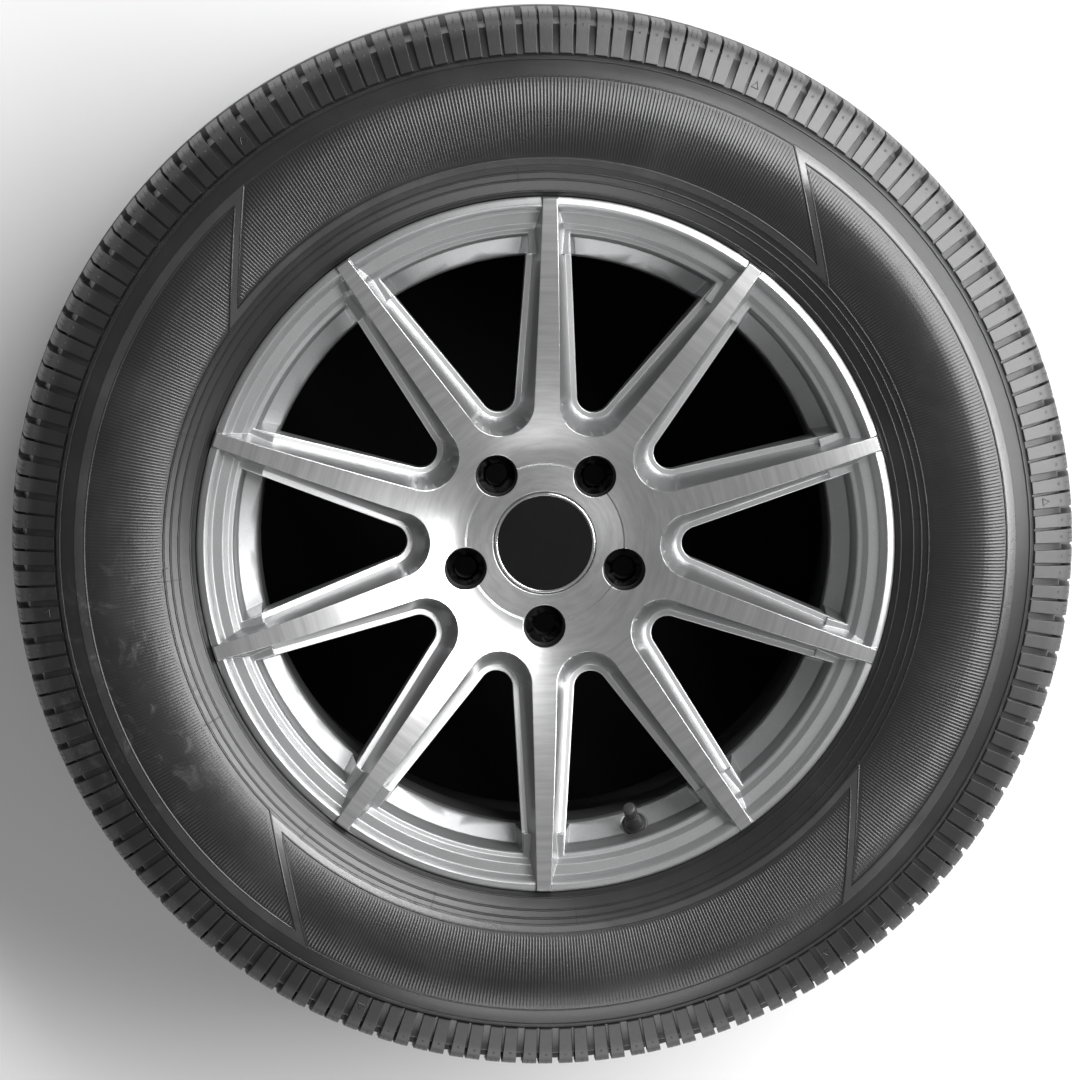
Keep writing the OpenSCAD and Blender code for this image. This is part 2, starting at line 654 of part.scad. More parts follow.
module valve_cap() {
    bore = valve_thread_r + valve_gap;
    ribs = 12;
    color("#191919") rotate(wheel_turn) at_valve() difference() {
        rotate_extrude() polygon(concat(
            [[0, tube_top + 0.7], [bore, tube_top + 0.7], [bore, cap_low], [valve_cap_r, cap_low]],
            arc([valve_cap_r - 2, valve_length - 2], 2, 0, 90, 4), [[0, valve_length]]));
        for (i = [0:ribs - 1]) rotate(i * 360 / ribs) translate([valve_cap_r + 0.15, 0, cap_low - overlap])
            cylinder(r = 0.4, h = valve_cap_h - 3);
    }
}

module valve_cap_seal() {
    color("#7a2a22") rotate(wheel_turn) at_valve() translate([0, 0, tube_top + 0.05])
        cylinder(r = valve_thread_r - 0.1, h = 0.6);
}

tyre();
wheel();
cap_body();
cap_ring();
cap_disc();
cap_spring_ring();
valve_rubber();
valve_tube();
valve_core();
valve_spring();
valve_pin();
valve_pin_seal();
valve_cap();
valve_cap_seal();
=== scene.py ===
"""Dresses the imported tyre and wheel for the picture: materials, fine sidewall relief, floor, lights and camera."""

import json
import math

import bmesh
import bpy
from mathutils import Matrix, Vector

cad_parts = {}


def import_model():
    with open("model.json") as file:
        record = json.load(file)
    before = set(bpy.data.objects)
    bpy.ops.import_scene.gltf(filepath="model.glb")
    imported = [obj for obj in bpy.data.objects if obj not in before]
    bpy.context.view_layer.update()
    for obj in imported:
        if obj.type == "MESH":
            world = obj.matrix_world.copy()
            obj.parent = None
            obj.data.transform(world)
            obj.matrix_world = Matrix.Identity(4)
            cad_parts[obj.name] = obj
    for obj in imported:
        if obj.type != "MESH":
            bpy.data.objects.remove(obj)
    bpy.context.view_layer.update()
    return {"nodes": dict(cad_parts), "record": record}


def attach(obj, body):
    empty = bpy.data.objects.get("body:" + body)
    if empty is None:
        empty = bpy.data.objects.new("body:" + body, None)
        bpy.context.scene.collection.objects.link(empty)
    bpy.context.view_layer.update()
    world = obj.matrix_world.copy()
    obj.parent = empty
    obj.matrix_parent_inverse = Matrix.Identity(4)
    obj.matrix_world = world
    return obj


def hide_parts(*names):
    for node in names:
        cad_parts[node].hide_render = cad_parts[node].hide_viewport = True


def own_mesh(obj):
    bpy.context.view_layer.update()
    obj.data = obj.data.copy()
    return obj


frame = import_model()
nodes = frame["nodes"]
ROOT = "wheel_and_tyre"

MM = 0.001
TO_MM = 1000
WHEEL_TURN = math.radians(-0.5)
SMOOTH_ANGLE = math.radians(28)
WELD = 1e-6


class Shader:
    """Builds one node material, with short calls for maths and mixing."""

    def __init__(self, name):
        self.mat = bpy.data.materials.new(name)
        self.mat.use_nodes = True
        self.tree = self.mat.node_tree
        self.tree.nodes.clear()
        self.out = self.node("ShaderNodeOutputMaterial")
        self.bsdf = self.node("ShaderNodeBsdfPrincipled")
        self.link(self.bsdf.outputs["BSDF"], self.out.inputs["Surface"])
        self.object = self.node("ShaderNodeTexCoord").outputs["Object"]

    def node(self, kind, **settings):
        n = self.tree.nodes.new(kind)
        for key, value in settings.items():
            setattr(n, key, value)
        return n

    def link(self, a, b):
        self.tree.links.new(a, b)

    def put(self, socket, value):
        if isinstance(value, bpy.types.NodeSocket):
            self.link(value, socket)
        elif isinstance(value, (tuple, list)) and len(value) == 3 and socket.type == "RGBA":
            socket.default_value = (*value, 1)
        else:
            socket.default_value = value

    def math(self, op, a, b=0.0, clamp=False):
        n = self.node("ShaderNodeMath", operation=op, use_clamp=clamp)
        for socket, value in zip(n.inputs, (a, b)):
            self.put(socket, value)
        return n.outputs[0]

    def ramp(self, value, low, high, to_low=0.0, to_high=1.0):
        n = self.node("ShaderNodeMapRange", interpolation_type="SMOOTHSTEP")
        for key, v in (("Value", value), ("From Min", low), ("From Max", high), ("To Min", to_low),
                       ("To Max", to_high)):
            self.put(n.inputs[key], v)
        return n.outputs[0]

    def mix(self, factor, a, b):
        n = self.node("ShaderNodeMix", data_type="RGBA")
        self.put(n.inputs[0], factor)
        self.put(n.inputs[6], a)
        self.put(n.inputs[7], b)
        return n.outputs[2]

    def xyz(self, vector):
        n = self.node("ShaderNodeSeparateXYZ")
        self.link(vector, n.inputs[0])
        return n.outputs[0], n.outputs[1], n.outputs[2]

    def vector(self, x, y, z):
        n = self.node("ShaderNodeCombineXYZ")
        for socket, value in zip(n.inputs, (x, y, z)):
            self.put(socket, value)
        return n.outputs[0]

    def noise(self, vector, scale, detail=4.0, rough=0.55, distortion=0.0):
        n = self.node("ShaderNodeTexNoise")
        for key, v in (("Vector", vector), ("Scale", scale), ("Detail", detail), ("Roughness", rough),
                       ("Distortion", distortion)):
            self.put(n.inputs[key], v)
        return n.outputs["Fac"]

    def polar(self):
        """Radius, angle and height round the axle."""
        x, y, z = self.xyz(self.object)
        r = self.math("SQRT", self.math("ADD", self.math("MULTIPLY", x, x), self.math("MULTIPLY", y, y)))
        return r, self.math("ARCTAN2", y, x), z

    def bump(self, height, distance, strength, normal):
        n = self.node("ShaderNodeBump")
        self.put(n.inputs["Height"], height)
        n.inputs["Distance"].default_value = distance
        n.inputs["Strength"].default_value = strength
        self.link(normal, n.inputs["Normal"])
        return n.outputs["Normal"]

    def bevel(self, radius):
        n = self.node("ShaderNodeBevel", samples=6)
        n.inputs["Radius"].default_value = radius
        return n.outputs["Normal"]

    def set(self, **values):
        for key, value in values.items():
            self.put(self.bsdf.inputs[key.replace("_", " ")], value)


# Centre of the lighter patch on the sidewall, painted light where that side shows bright, how far it reaches, and where
# the tread's worn tone begins, in metres.
LIT_PATCH_X, LIT_PATCH_Y = -0.268, -0.085
LIT_PATCH_CORE, LIT_PATCH_REACH = 0.02, 0.13
WORN_FROM, WORN_TO = 0.344, 0.356


def rubber_material(name, gloss=0.0):
    """Moulded black rubber, dusty all over, with a lighter patch of painted light on the sidewall's left. Gloss lowers
    the roughness and also lifts the tone as painted light, as on the plain band.
    """
    s = Shader(name)
    r, _, _ = s.polar()
    blotch = s.noise(s.object, scale=9.0, detail=5.0, rough=0.62, distortion=0.4)
    cloud = s.noise(s.object, scale=55.0, detail=6.0, rough=0.72, distortion=0.9)
    mottle = s.noise(s.object, scale=330.0, detail=4.0, rough=0.65, distortion=0.6)
    grain = s.noise(s.object, scale=1100.0, detail=3.0, rough=0.6)
    # Dust lies in faint clouds all over; on one patch of the sidewall's left the clouds are painted lighter, as painted
    # light where that side shows bright.
    x, y, _ = s.xyz(s.object)
    dx, dy = s.math("SUBTRACT", x, LIT_PATCH_X), s.math("SUBTRACT", y, LIT_PATCH_Y)
    far = s.math("SQRT", s.math("ADD", s.math("MULTIPLY", dx, dx), s.math("MULTIPLY", dy, dy)))
    lit_patch = s.math("MULTIPLY", s.ramp(cloud, 0.50, 0.70), s.ramp(far, LIT_PATCH_CORE, LIT_PATCH_REACH, 1.0, 0.0))
    film = s.math("MULTIPLY", s.ramp(blotch, 0.42, 0.75), 0.25)
    dust_and_lit_patch = s.math("ADD", film, s.math("MULTIPLY", lit_patch, 0.85), clamp=True)
    worn = s.ramp(r, WORN_FROM, WORN_TO)
    # Gloss also lifts the tone here: painted light, a lighter copy of the rubber for the band's highlight.
    pale = 1 + 1.5 * gloss
    tone = s.mix(dust_and_lit_patch, (0.011 * pale, 0.011 * pale, 0.0115 * pale), (0.055 * pale, 0.054 * pale, 0.053 * pale))
    tone = s.mix(s.math("MULTIPLY", worn, 0.42), tone, (0.11, 0.11, 0.11))
    rough = s.math("ADD", s.math("MULTIPLY", dust_and_lit_patch, 0.20), s.math("MULTIPLY", worn, 0.12))
    rough = s.math("ADD", 0.31 - 0.06 * gloss, rough)
    rough = s.math("ADD", rough, s.math("MULTIPLY", mottle, 0.06))
    height = s.math("ADD", s.math("MULTIPLY", cloud, 0.4), s.math("MULTIPLY", grain, 0.25))
    height = s.math("ADD", height, s.math("MULTIPLY", mottle, 0.35))
    s.set(Base_Color=tone, Roughness=rough,
          Normal=s.bump(height, distance=0.00028, strength=0.5, normal=s.bevel(0.0007)))
    s.bsdf.inputs["Specular IOR Level"].default_value = 0.65 + 0.35 * gloss
    return s.mat


def turned_material():
    """The lathe-cut face: fine rings round the axle, with the streaks they give."""
    s = Shader("turned_alloy")
    r, angle, _ = s.polar()
    rings = s.noise(s.vector(r, s.math("MULTIPLY", angle, 0.002), 0.0), scale=2600.0, detail=2.0, rough=0.6)
    broad = s.noise(s.vector(r, s.math("MULTIPLY", angle, 0.01), 0.3), scale=260.0, detail=3.0, rough=0.6)
    tone = s.mix(s.ramp(broad, 0.3, 0.7), (0.66, 0.66, 0.664), (0.80, 0.80, 0.804))
    rough = s.math("ADD", 0.24, s.math("MULTIPLY", rings, 0.12))
    tangent = s.node("ShaderNodeTangent", direction_type="RADIAL", axis="Z")
    s.set(Base_Color=tone, Roughness=rough, Tangent=tangent.outputs[0],
          Normal=s.bump(rings, distance=0.00004, strength=0.35, normal=s.bevel(0.0007)))
    s.bsdf.inputs["Metallic"].default_value = 1.0
    s.bsdf.inputs["Anisotropic"].default_value = 0.45
    s.bsdf.inputs["Anisotropic Rotation"].default_value = 0.25
    return s.mat


def silver_material(name, low, high):
    """Silver paint: fine flake under a clear coat."""
    s = Shader(name)
    flake = s.noise(s.object, scale=2500.0, detail=2.0, rough=0.7)
    soft = s.noise(s.object, scale=30.0, detail=3.0)
    tone = s.mix(s.ramp(flake, 0.35, 0.65), low, high)
    rough = s.math("ADD", 0.36, s.math("MULTIPLY", soft, 0.08))
    s.set(Base_Color=tone, Roughness=rough,
          Normal=s.bump(flake, distance=0.00003, strength=0.25, normal=s.bevel(0.0012)))
    s.bsdf.inputs["Metallic"].default_value = 0.85
    s.bsdf.inputs["Coat Weight"].default_value = 0.25
    s.bsdf.inputs["Coat Roughness"].default_value = 0.12
    return s.mat


def pocket_shade_material():
    """Near-black inside the nut pockets: painted shade for their depth."""
    s = Shader("painted_shade_pocket")
    grain = s.noise(s.object, scale=700.0, detail=3.0)
    s.set(Base_Color=s.mix(grain, (0.020, 0.020, 0.021), (0.040, 0.040, 0.042)),
          Roughness=s.math("ADD", 0.32, s.math("MULTIPLY", grain, 0.12)), Normal=s.bevel(0.0005))
    s.bsdf.inputs["Metallic"].default_value = 0.4
    return s.mat


def plain_material(name, low, high, rough, scale=500.0, metallic=0.0, coat=0.0, bump=0.00004):
    """One even material with a fine grain, for the small pieces."""
    s = Shader(name)
    grain = s.noise(s.object, scale, detail=4.0, rough=0.6)
    s.set(Base_Color=s.mix(grain, low, high), Roughness=s.math("ADD", rough, s.math("MULTIPLY", grain, 0.08)),
          Normal=s.bump(grain, distance=bump, strength=0.4, normal=s.bevel(0.0004)))
    s.bsdf.inputs["Metallic"].default_value = metallic
    if coat:
        s.bsdf.inputs["Coat Weight"].default_value = coat
        s.bsdf.inputs["Coat Roughness"].default_value = 0.06
    return s.mat


RUBBER = rubber_material("moulded_rubber")
# The band's rubber is glossier and also painted lighter, as painted light for its highlight.
BAND_RUBBER = rubber_material("band_rubber", gloss=1.0)
TURNED = turned_material()
SILVER = silver_material("silver_paint", (0.34, 0.343, 0.347), (0.45, 0.453, 0.457))
# The ledges' silver is the same paint made lighter: painted light where the ledges catch the lamps.
LIT_LEDGE_SILVER = silver_material("painted_light_ledge_silver", (0.70, 0.703, 0.707), (0.82, 0.823, 0.827))
POCKET_SHADE = pocket_shade_material()
BLACK_GLOSS = plain_material("black_gloss", (0.003, 0.003, 0.003), (0.005, 0.005, 0.005),
                             rough=0.16, scale=60.0, bump=0.00002)
BLACK_GLOSS.node_tree.nodes["Principled BSDF"].inputs["Specular IOR Level"].default_value = 0.35
BRIGHT = plain_material("polished_ring", (0.80, 0.80, 0.81), (0.88, 0.88, 0.89),
                        rough=0.10, scale=300.0, metallic=1.0)
DARK_PLASTIC = plain_material("dark_plastic", (0.022, 0.022, 0.023), (0.032, 0.032, 0.033), rough=0.42)
# The barrel's inside and the back of the disc: the wheel's silver made near-black, painted shade where little light
# reaches.
SHADED_BARREL = plain_material("painted_shade_barrel", (0.030, 0.030, 0.031), (0.042, 0.042, 0.043),
                        rough=0.45, scale=300.0)
# Near-black strips laid on the rubber: painted shade for the slits and the mould's thin joint gaps.
GAP_SHADE = plain_material("mould_line", (0.006, 0.006, 0.006), (0.010, 0.010, 0.010), rough=0.6)
VALVE_RUBBER = plain_material("valve_rubber", (0.022, 0.022, 0.022), (0.034, 0.034, 0.033),
                              rough=0.50, scale=700.0, bump=0.00008)
BRASS = plain_material("brass", (0.62, 0.44, 0.18), (0.74, 0.55, 0.26), rough=0.24, scale=900.0, metallic=1.0)
STEEL = plain_material("spring_steel", (0.50, 0.50, 0.51), (0.62, 0.62, 0.63),
                       rough=0.22, scale=900.0, metallic=1.0)


def dress(node, material):
    mesh = nodes[node].data
    mesh.materials.clear()
    mesh.materials.append(material)


def smooth(obj):
    """Rounds the facets of an object but keeps its edges sharp."""
    if "custom_normal" in obj.data.attributes:
        obj.data.attributes.remove(obj.data.attributes["custom_normal"])
    for p in obj.data.polygons:
        p.use_smooth = True
    weld = obj.modifiers.new("weld", "WELD")
    weld.merge_threshold = WELD
    split = obj.modifiers.new("split", "EDGE_SPLIT")
    split.split_angle = SMOOTH_ANGLE
    split.use_edge_sharp = False


for name, material in (("tyre", RUBBER), ("cap_body", DARK_PLASTIC), ("cap_ring", BRIGHT),
                       ("cap_disc", BLACK_GLOSS), ("cap_spring_ring", STEEL), ("valve_rubber", VALVE_RUBBER),
                       ("valve_tube", BRASS), ("valve_core", BRASS), ("valve_spring", STEEL),
                       ("valve_pin", BRASS), ("valve_pin_seal", VALVE_RUBBER), ("valve_cap", DARK_PLASTIC),
                       ("valve_cap_seal", VALVE_RUBBER)):
    dress(name, material)
for name in nodes:
    smooth(nodes[name])


# The wheel's front, in mm: its ten spokes rise from the hub disc to the lip.
SPOKES = 10
SPOKE_ROOT, SPOKE_BEND, SPOKE_TIP = 62.0, 10.0, 235.8
HUB_Z, TIP_Z = 66.0, 101.6
FACE_START = 56.0
CROWNING = 12.5
# Past NARROW_FROM the machined face is a strip this far to each side of the spoke's middle.
NARROW_FROM, STRIP_HALF = 150, 8.0
# What tells the finishes, painted shade and painted light apart: the slope and place of the ledges, nut pockets, hub
# disc and barrel.
PAINT, CUT, POCKET, BACK, LEDGE = range(5)
LEDGE_NORMAL_Z, LEDGE_SLACK, LEDGE_OUT = math.cos(math.radians(16)), 0.003, 212
BOLTS, BOLT_R = 5, 57.15
POCKET_R, POCKET_LOW, POCKET_HIGH = 14.62, 45, 65.9
HUB_LOW, HUB_HIGH = 64.5, 66.8
BARREL_TOP, BARREL_R = 46, 232
UPWARDS = 0.8
# How near a point must be to the solid's face or rim, for its finish and for its move.
FINISH_SLACK, MOVE_SLACK, LIP_SLACK, RIM_MARGIN = 0.35, 0.12, 0.03, 0.1
LIP_FROM = 225
# The cuts across each spoke, where they begin, and what counts as flat before them.
FRONT_Z, SPOKES_FROM = 50, 60
CUTS, CUT_START, CUT_STEP = 27, 66, 6
FLAT = math.radians(0.2)
# The rim's front as the solid has it, from the lip inwards, and where each point goes (radius, height).
RIM_FROM = ((235.3, 99.6), (234.3, 100.4), (230.2, 100.4), (228.6, 99.4), (228.1, 97.6), (227.6, 97.2),
            (216.0, 91.8), (215.7, 90.9), (214.0, 90.2), (213.7, 89.3), (212.2, 88.7))
RIM_TO = ((235.4, 98.9), (233.8, 99.6), (230.7, 100.4), (229.0, 99.2), (227.2, 96.2), (225.7, 93.8),
          (218.5, 93.0), (217.7, 92.0), (215.6, 90.1), (215.1, 89.4), (212.2, 88.7))


def spoke_share(r):
    """How far up its rise a spoke's face is, from 0 at the hub to 1 at the lip."""
    def rise(x):
        return x - SPOKE_ROOT + math.hypot(x - SPOKE_ROOT, SPOKE_BEND)
    return rise(r) / rise(SPOKE_TIP)


def spoke_height(r):
    """Height of the machined face in the solid."""
    return HUB_Z + (TIP_Z - HUB_Z) * spoke_share(r)


def crowned_height(r):
    """Height of the machined face as it shows: steep near the hub, level at the lip."""
    first = spoke_share(FACE_START)
    t = max(0.0, (spoke_share(r) - first) / (1 - first))
    return spoke_height(r) + 4 * CROWNING * t * (1 - t)


def at(r, a):
    return (r * math.cos(a), r * math.sin(a))


def along_spoke(x, y):
    """Distances along and across the nearest spoke."""
    step = 2 * math.pi / SPOKES
    a = math.atan2(y, x) - WHEEL_TURN - math.pi / 2
    a -= step * round(a / step)
    r = math.hypot(x, y)
    return r * math.cos(a), r * math.sin(a)


def on_face(x, y, z, slack):
    """Whether a point lies on the machined face, beyond the hub disc."""
    r = math.hypot(x, y)
    if r <= FACE_START or abs(z - spoke_height(r)) >= slack:
        return False
    return r < NARROW_FROM or abs(along_spoke(x, y)[1]) < STRIP_HALF


def finish_wheel(mesh):
    """Gives each facet of the wheel its finish by its place and its slope; the nut pockets and barrel get painted
    shade, the ledges painted light.
    """
    mesh.materials.clear()
    for material in (SILVER, TURNED, POCKET_SHADE, SHADED_BARREL, LIT_LEDGE_SILVER):
        mesh.materials.append(material)
    bolts = [math.radians(-90 + 360 / BOLTS * i) + WHEEL_TURN for i in range(BOLTS)]
    pockets = [Vector(at(BOLT_R, a)) for a in bolts]
    for p in mesh.polygons:
        c, n = p.center * TO_MM, p.normal
        r = math.hypot(c.x, c.y)
        finish = PAINT
        if n.z > UPWARDS and on_face(c.x, c.y, c.z, FINISH_SLACK):
            finish = CUT
        elif n.z > UPWARDS and r < FACE_START and HUB_LOW < c.z < HUB_HIGH:
            finish = CUT
        # The nut pockets get the near-black of painted shade, for their depth.
        if POCKET_LOW < c.z < POCKET_HIGH and any((c.xy - pocket).length < POCKET_R for pocket in pockets):
            finish = POCKET
        # The barrel's inside and the back of the disc get near-black: painted shade.
        elif c.z < BARREL_TOP and r < BARREL_R:
            finish = BACK
        # Flat ledges get the lighter copy of the silver paint: painted light.
        elif finish == PAINT and r < LEDGE_OUT and abs(n.z - LEDGE_NORMAL_Z) < LEDGE_SLACK:
            finish = LEDGE
        p.material_index = finish


def rim_place(r, z):
    """Where a point of the rim's front goes, or None when it isn't on it."""
    for (p, q), (to_p, to_q) in zip(zip(RIM_FROM, RIM_FROM[1:]), zip(RIM_TO, RIM_TO[1:])):
        along = Vector(q) - Vector(p)
        t = max(0.0, min(1.0, (Vector((r, z)) - Vector(p)).dot(along) / along.length_squared))
        if (Vector(p) + along * t - Vector((r, z))).length < MOVE_SLACK:
            return Vector(to_p).lerp(Vector(to_q), t)
    return None


def unique(items):
    """Each item once, in the order it first comes, so that every run cuts the mesh alike."""
    return list(dict.fromkeys(items))


def show_wheel():
    """A copy of the wheel whose spoke faces are crowned and whose rim has a level band. It stands for the solid."""
    mesh = nodes["wheel"].data.copy()
    mesh.name = "wheel_front"
    bm = bmesh.new()
    bm.from_mesh(mesh)
    bmesh.ops.remove_doubles(bm, verts=bm.verts, dist=WELD)
    # Flat walls become single faces first, so that each cut runs right across them.
    front = [face for face in bm.faces if face.calc_center_median().z * TO_MM > FRONT_Z]
    edges = unique(e for face in front for e in face.edges)
    bmesh.ops.dissolve_limit(bm, angle_limit=FLAT, verts=[], edges=edges, delimit={"MATERIAL"})
    sectors = [[] for _ in range(SPOKES)]
    for face in bm.faces:
        c = face.calc_center_median() * TO_MM
        if along_spoke(c.x, c.y)[0] > SPOKES_FROM and c.z > FRONT_Z:
            turn = math.atan2(c.y, c.x) - WHEEL_TURN - math.pi / 2
            sectors[round(turn * SPOKES / (2 * math.pi)) % SPOKES].append(face)
    for k, faces in enumerate(sectors):
        a = math.pi / 2 + WHEEL_TURN + 2 * math.pi * k / SPOKES
        axis = Vector((math.cos(a), math.sin(a), 0))
        geom = faces + unique(e for face in faces for e in face.edges) + unique(v for face in faces for v in face.verts)
        for step in range(CUTS):
            place = axis * (CUT_START + CUT_STEP * step) * MM
            cut = bmesh.ops.bisect_plane(bm, geom=geom, dist=WELD, plane_co=place, plane_no=axis)
            geom = cut["geom"]
    for v in bm.verts:
        x, y, z = v.co * TO_MM
        r = math.hypot(x, y)
        if on_face(x, y, z, MOVE_SLACK if r < LIP_FROM else LIP_SLACK):
            v.co.z = (z + crowned_height(r) - spoke_height(r)) * MM
        elif RIM_FROM[-1][0] - RIM_MARGIN < r < RIM_FROM[0][0] + RIM_MARGIN:
            place = rim_place(r, z)
            if place:
                v.co = Vector((x * place[0] / r, y * place[0] / r, place[1])) * MM
    bm.to_mesh(mesh)
    bm.free()
    obj = bpy.data.objects.new("wheel_front", mesh)
    bpy.context.scene.collection.objects.link(obj)
    smooth(obj)
    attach(obj, ROOT)
    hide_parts("wheel")


finish_wheel(nodes["wheel"].data)
show_wheel()


def coil_spring(turns=5, sides=8, wire=0.15, steps=28):
    """The valve's spring, which shortens as the pin goes in, built as one fixed wire at rest; it stands for the solid's
    rings.
    """
    joint = next(j for j in frame["record"]["behaviour"]["joints"] if j["name"] == "valve_pin_press")
    inwards = Vector(joint["axis"]).normalized()
    points = [v.co for v in nodes["valve_spring"].data.vertices]
    centre = sum(points, Vector()) / len(points)
    half = max((p - centre).dot(inwards) for p in points)
    coil = max((p - centre - inwards * (p - centre).dot(inwards)).length for p in points) - wire * MM
    side = inwards.orthogonal().normalized()
    other = inwards.cross(side)
    verts, faces = [], []
    count = turns * steps
    for i in range(count + 1):
        a = 2 * math.pi * i / steps
        out = side * math.cos(a) + other * math.sin(a)
        at = centre + out * coil + inwards * (half - wire * MM) * (2 * i / count - 1)
        for k in range(sides):
            b = 2 * math.pi * k / sides
            verts.append(at + (out * math.cos(b) + inwards * math.sin(b)) * wire * MM)
            if i < count:
                low, next_low = i * sides + k, i * sides + (k + 1) % sides
                faces.append((low, next_low, next_low + sides, low + sides))
    faces += [tuple(range(sides))[::-1], tuple(count * sides + k for k in range(sides))]
    mesh = bpy.data.meshes.new("valve_spring_coil")
    mesh.from_pydata(verts, [], faces)
    mesh.materials.append(STEEL)
    bm = bmesh.new()
    bm.from_mesh(mesh)
    bmesh.ops.recalc_face_normals(bm, faces=bm.faces)
    bm.to_mesh(mesh)
    bm.free()
    obj = bpy.data.objects.new("valve_spring_coil", mesh)
    bpy.context.scene.collection.objects.link(obj)
    for p in mesh.polygons:
        p.use_smooth = len(p.vertices) == 4
    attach(obj, ROOT)
    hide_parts("valve_spring")
    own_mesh(obj)


coil_spring()


# The sidewall, in mm: its outline, the fine rings by the bead, and the band that winds between the panels.
SECTION, WIDEST, FOOT = 120.0, 292.0, 330.25
EXIT_R, EXIT_Z = 236.35, 98.0
RING_STARTS = (238.82, 246.47, 251.48, 255.92)
BAND_OUT, BAND_MID, BAND_LOW, BAND_IN = 315.42, 308.72, 261.23, 255.63
OUT_ANGLE, IN_ANGLE = math.radians(35.3), math.radians(47.6)
PANEL_TURN = math.radians(94.2)
SLANT = 4.8
# How the sidewall curves in to the bead and out to the shoulder, and how far it falls to the shoulder's foot.
BEAD_CURVE, SHOULDER_CURVE, SHOULDER_FALL = 2.1, 1.7, 15.0
RING_WIDE, RING_HIGH, RING_FLANK = 1.2, 0.6, 0.3
# The band stands between these two heights over the sidewall, from just outside the last ring.
BAND_LIFT_LOW, BAND_LIFT_HIGH, BAND_START, BAND_PAST = 0.4, 0.6, 1.5, 0.5
# The ribs, how far they keep from the band's edges, and how far past the panels' corners they are looked for.
RIBS, RIB_HEIGHT, RIB_FILL, RIB_STEP, RIB_END, SHORTEST_RIB = 840, 0.2, 0.42, 3, 0.1, 3
SUNK = -0.04
TOP_GAP, FOOT_GAP, ARC_GAP, SLANT_GAP = 1.9, 2.0, 0.7, 0.6
IN_REACH, OUT_REACH, EDGE_REACH = 0.02, 0.05, 0.06
# The raised lines along the band: where their outer and inner arcs run, and their steps.
OUT_LINE, IN_LINE = BAND_OUT - 0.9, BAND_IN + 1.4
ARC_STEPS, SLANT_STEPS = 60, 12
EDGE_SECTION = ((0.75, 0.46), (0.1, 0.72), (-0.15, 0.72), (-0.85, -0.06))
# The mould's joints: their section, number, first angle, and the points along each.
JOINT_SECTION = ((0.24, 0.07), (-0.24, 0.07))
JOINTS, JOINT_TURN = 16, 4.5
JOINT_START, JOINT_STEP, JOINT_POINTS = 245.2, 0.15, 106
STEPPED_JOINT = ((261.5, 183.9), (258.2, 183.8), (257.6, 182.7), (253.4, 182.5))
STEPPED_POINTS = 20
PITCHES = 89
WIDE, NARROW = 4.8, 1.8


def sidewall(r):
    """Height of the plain sidewall."""
    if r < WIDEST:
        return SECTION - (SECTION - EXIT_Z) * ((WIDEST - r) / (WIDEST - EXIT_R)) ** BEAD_CURVE
    return SECTION - SHOULDER_FALL * ((r - WIDEST) / (FOOT - WIDEST)) ** SHOULDER_CURVE


def over_rings(r):
    """Height over the sidewall with the fine rings round the bead."""
    lift = 0.0
    for start in RING_STARTS:
        share = min(1.0, (r - start) / RING_FLANK, (start + RING_WIDE - r) / RING_FLANK)
        lift = max(lift, share * RING_HIGH)
    return sidewall(r) + lift


def finish_band():
    """Gives the plain raised band its glossier rubber, whose lighter tone is painted light."""
    mesh = nodes["tyre"].data
    mesh.materials.append(BAND_RUBBER)
    for p in mesh.polygons:
        c = p.center * TO_MM
        r = math.hypot(c.x, c.y)
        inside = RING_STARTS[-1] + BAND_START < r < BAND_OUT + BAND_PAST
        if inside and BAND_LIFT_LOW < abs(c.z) - sidewall(r) < BAND_LIFT_HIGH:
            p.material_index = 1


finish_band()


class Piece:
    """Collects strips that lie on the tyre's front, and makes one mesh of them and their mirror on the back."""

    def __init__(self, name, material):
        self.name, self.material = name, material
        self.verts, self.faces = [], []

    def strip(self, rows):
        """Joins rows of points that all have the same length."""
        first, wide = len(self.verts), len(rows[0])
        for row in rows:
            self.verts += row
        for i in range(len(rows) - 1):
            for j in range(wide - 1):
                a = first + i * wide + j
                self.faces.append((a, a + wide, a + wide + 1, a + 1))

    def build(self):
        count = len(self.verts)
        verts = self.verts + [(x, y, -z) for x, y, z in self.verts]
        faces = [face if self.up(face) else face[::-1] for face in self.faces]
        faces += [tuple(count + i for i in face[::-1]) for face in faces]
        mesh = bpy.data.meshes.new(self.name)
        mesh.from_pydata([Vector(v) * MM for v in verts], [], faces)
        mesh.materials.append(self.material)
        obj = bpy.data.objects.new(self.name, mesh)
        bpy.context.scene.collection.objects.link(obj)
        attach(obj, ROOT)

    def up(self, face):
        """Whether a face looks up, away from the tyre's middle."""
        a, b, c = (Vector(self.verts[i]) for i in face[:3])
        return (b - a).cross(c - a).z >= 0


def ground(x, y, lift, surface):
    """A point at a lift over a surface."""
    return (x, y, surface(math.hypot(x, y)) + lift)


def ridge(piece, path, section, surface):
    """Runs a section of (offset to the left, lift) along a plan path."""
    rows = []
    for i, p in enumerate(path):
        a, b = path[max(i - 1, 0)], path[min(i + 1, len(path) - 1)]
        d = (Vector(b) - Vector(a)).normalized()
        rows.append([ground(p[0] - d.y * off, p[1] + d.x * off, lift, surface) for off, lift in section])
    piece.strip(rows)


def slant_line(extra):
    """The slanted edge of a wide-footed panel on +X, moved out by extra, as a point and a direction."""
    out_corner, in_corner = Vector(at(BAND_OUT, OUT_ANGLE)), Vector(at(BAND_LOW, IN_ANGLE))
    along = (out_corner - in_corner).normalized()
    return in_corner + Vector((-along.y, along.x)) * extra, along


